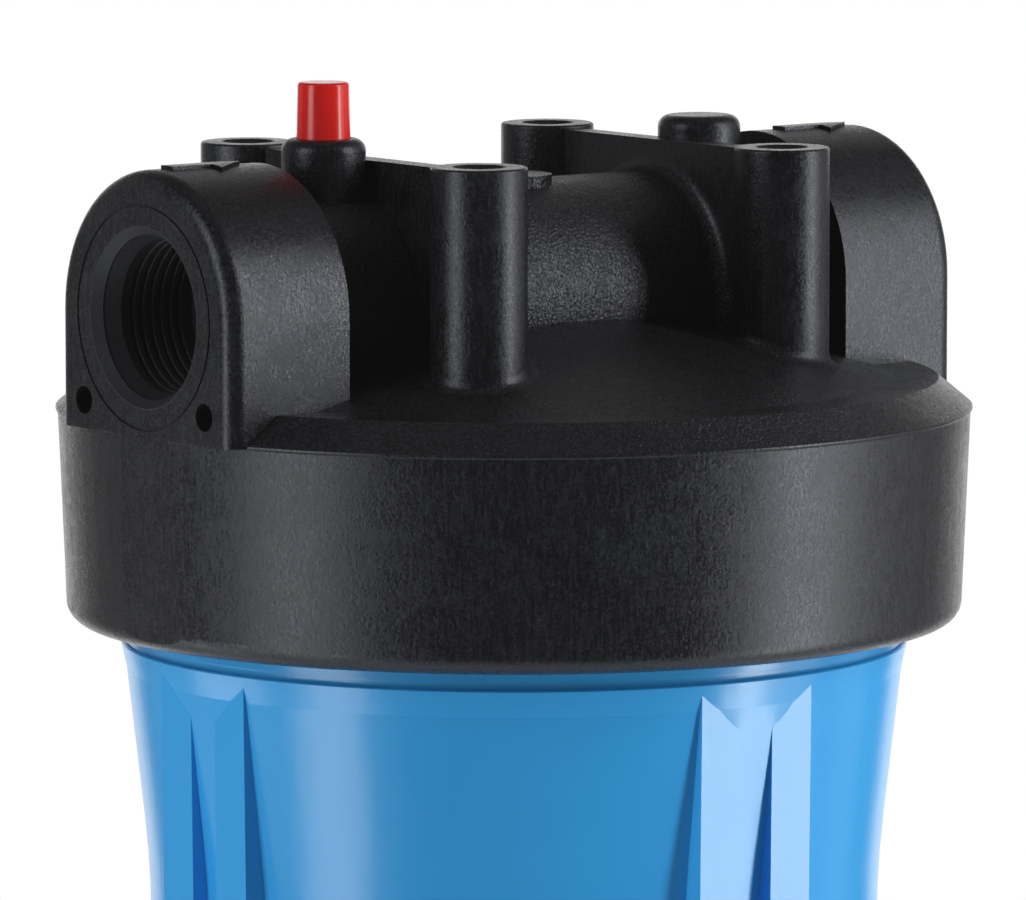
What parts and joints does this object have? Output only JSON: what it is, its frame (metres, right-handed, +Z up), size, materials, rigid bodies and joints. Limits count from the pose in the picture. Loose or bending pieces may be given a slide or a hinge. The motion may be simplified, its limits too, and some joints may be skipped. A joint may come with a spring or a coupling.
{
  "type": "cartridge filter housing",
  "caption": "Water filter housing: black threaded head with side ports and a red pressure relief button over a ribbed blue screw-on sump with a pleated cartridge inside.",
  "frame": {"origin": "centre of the underside of the sump, on the housing's axis", "axes": "+Z up along the housing's axis, +X from the inlet port to the outlet port, +Y square to both"},
  "size_m": [0.1826, 0.184, 0.3329],
  "materials": {
    "black_polypropylene": "satin",
    "blue_polypropylene": "satin",
    "red_plastic": "gloss",
    "white_polypropylene": "matte",
    "filter_media": "matte",
    "black_rubber": "matte",
    "stainless_steel": "satin"
  },
  "bodies": {
    "head_body": {"head": "black_polypropylene", "relief_lower_washer": "stainless_steel"},
    "relief_body": {"relief_button": "red_plastic", "relief_stem": "stainless_steel", "relief_seal_ring": "black_rubber", "relief_washer": "stainless_steel", "relief_clip": "stainless_steel", "relief_spring": "stainless_steel"},
    "cartridge_body": {"cartridge_core": "white_polypropylene", "cartridge_inner_net": "white_polypropylene", "cartridge_media": "filter_media", "cartridge_outer_net": "white_polypropylene", "cartridge_outer_cage": "white_polypropylene", "cartridge_bottom_cap": "white_polypropylene", "cartridge_top_cap": "white_polypropylene", "cartridge_bottom_gasket": "black_rubber", "cartridge_top_gasket": "black_rubber"},
    "sump_body": {"sump": "blue_polypropylene", "sump_o_ring": "black_rubber"}
  },
  "joints": [
    {"name": "relief_press", "type": "slide", "parent": "head_body", "child": "relief_body", "axis": [0, 0, -1], "range_m": [0, 0.0025], "stiffness_N_per_m": 800, "springref_m": -0.002, "deforming": ["relief_spring"]},
    {"name": "sump_drop", "type": "slide", "parent": "head_body", "child": "cartridge_body", "axis": [0, 0, -1], "range_m": [0, 0.0245]},
    {"name": "sump_turn", "type": "hinge", "parent": "cartridge_body", "child": "sump_body", "pos_m": [0, 0, 0.24], "axis": [0, 0, -1], "range_deg": [0, 1080]}
  ],
  "couplings": [
    {"joint": "sump_drop", "follows": "sump_turn", "m_per_rad": 0.0012732}
  ]
}
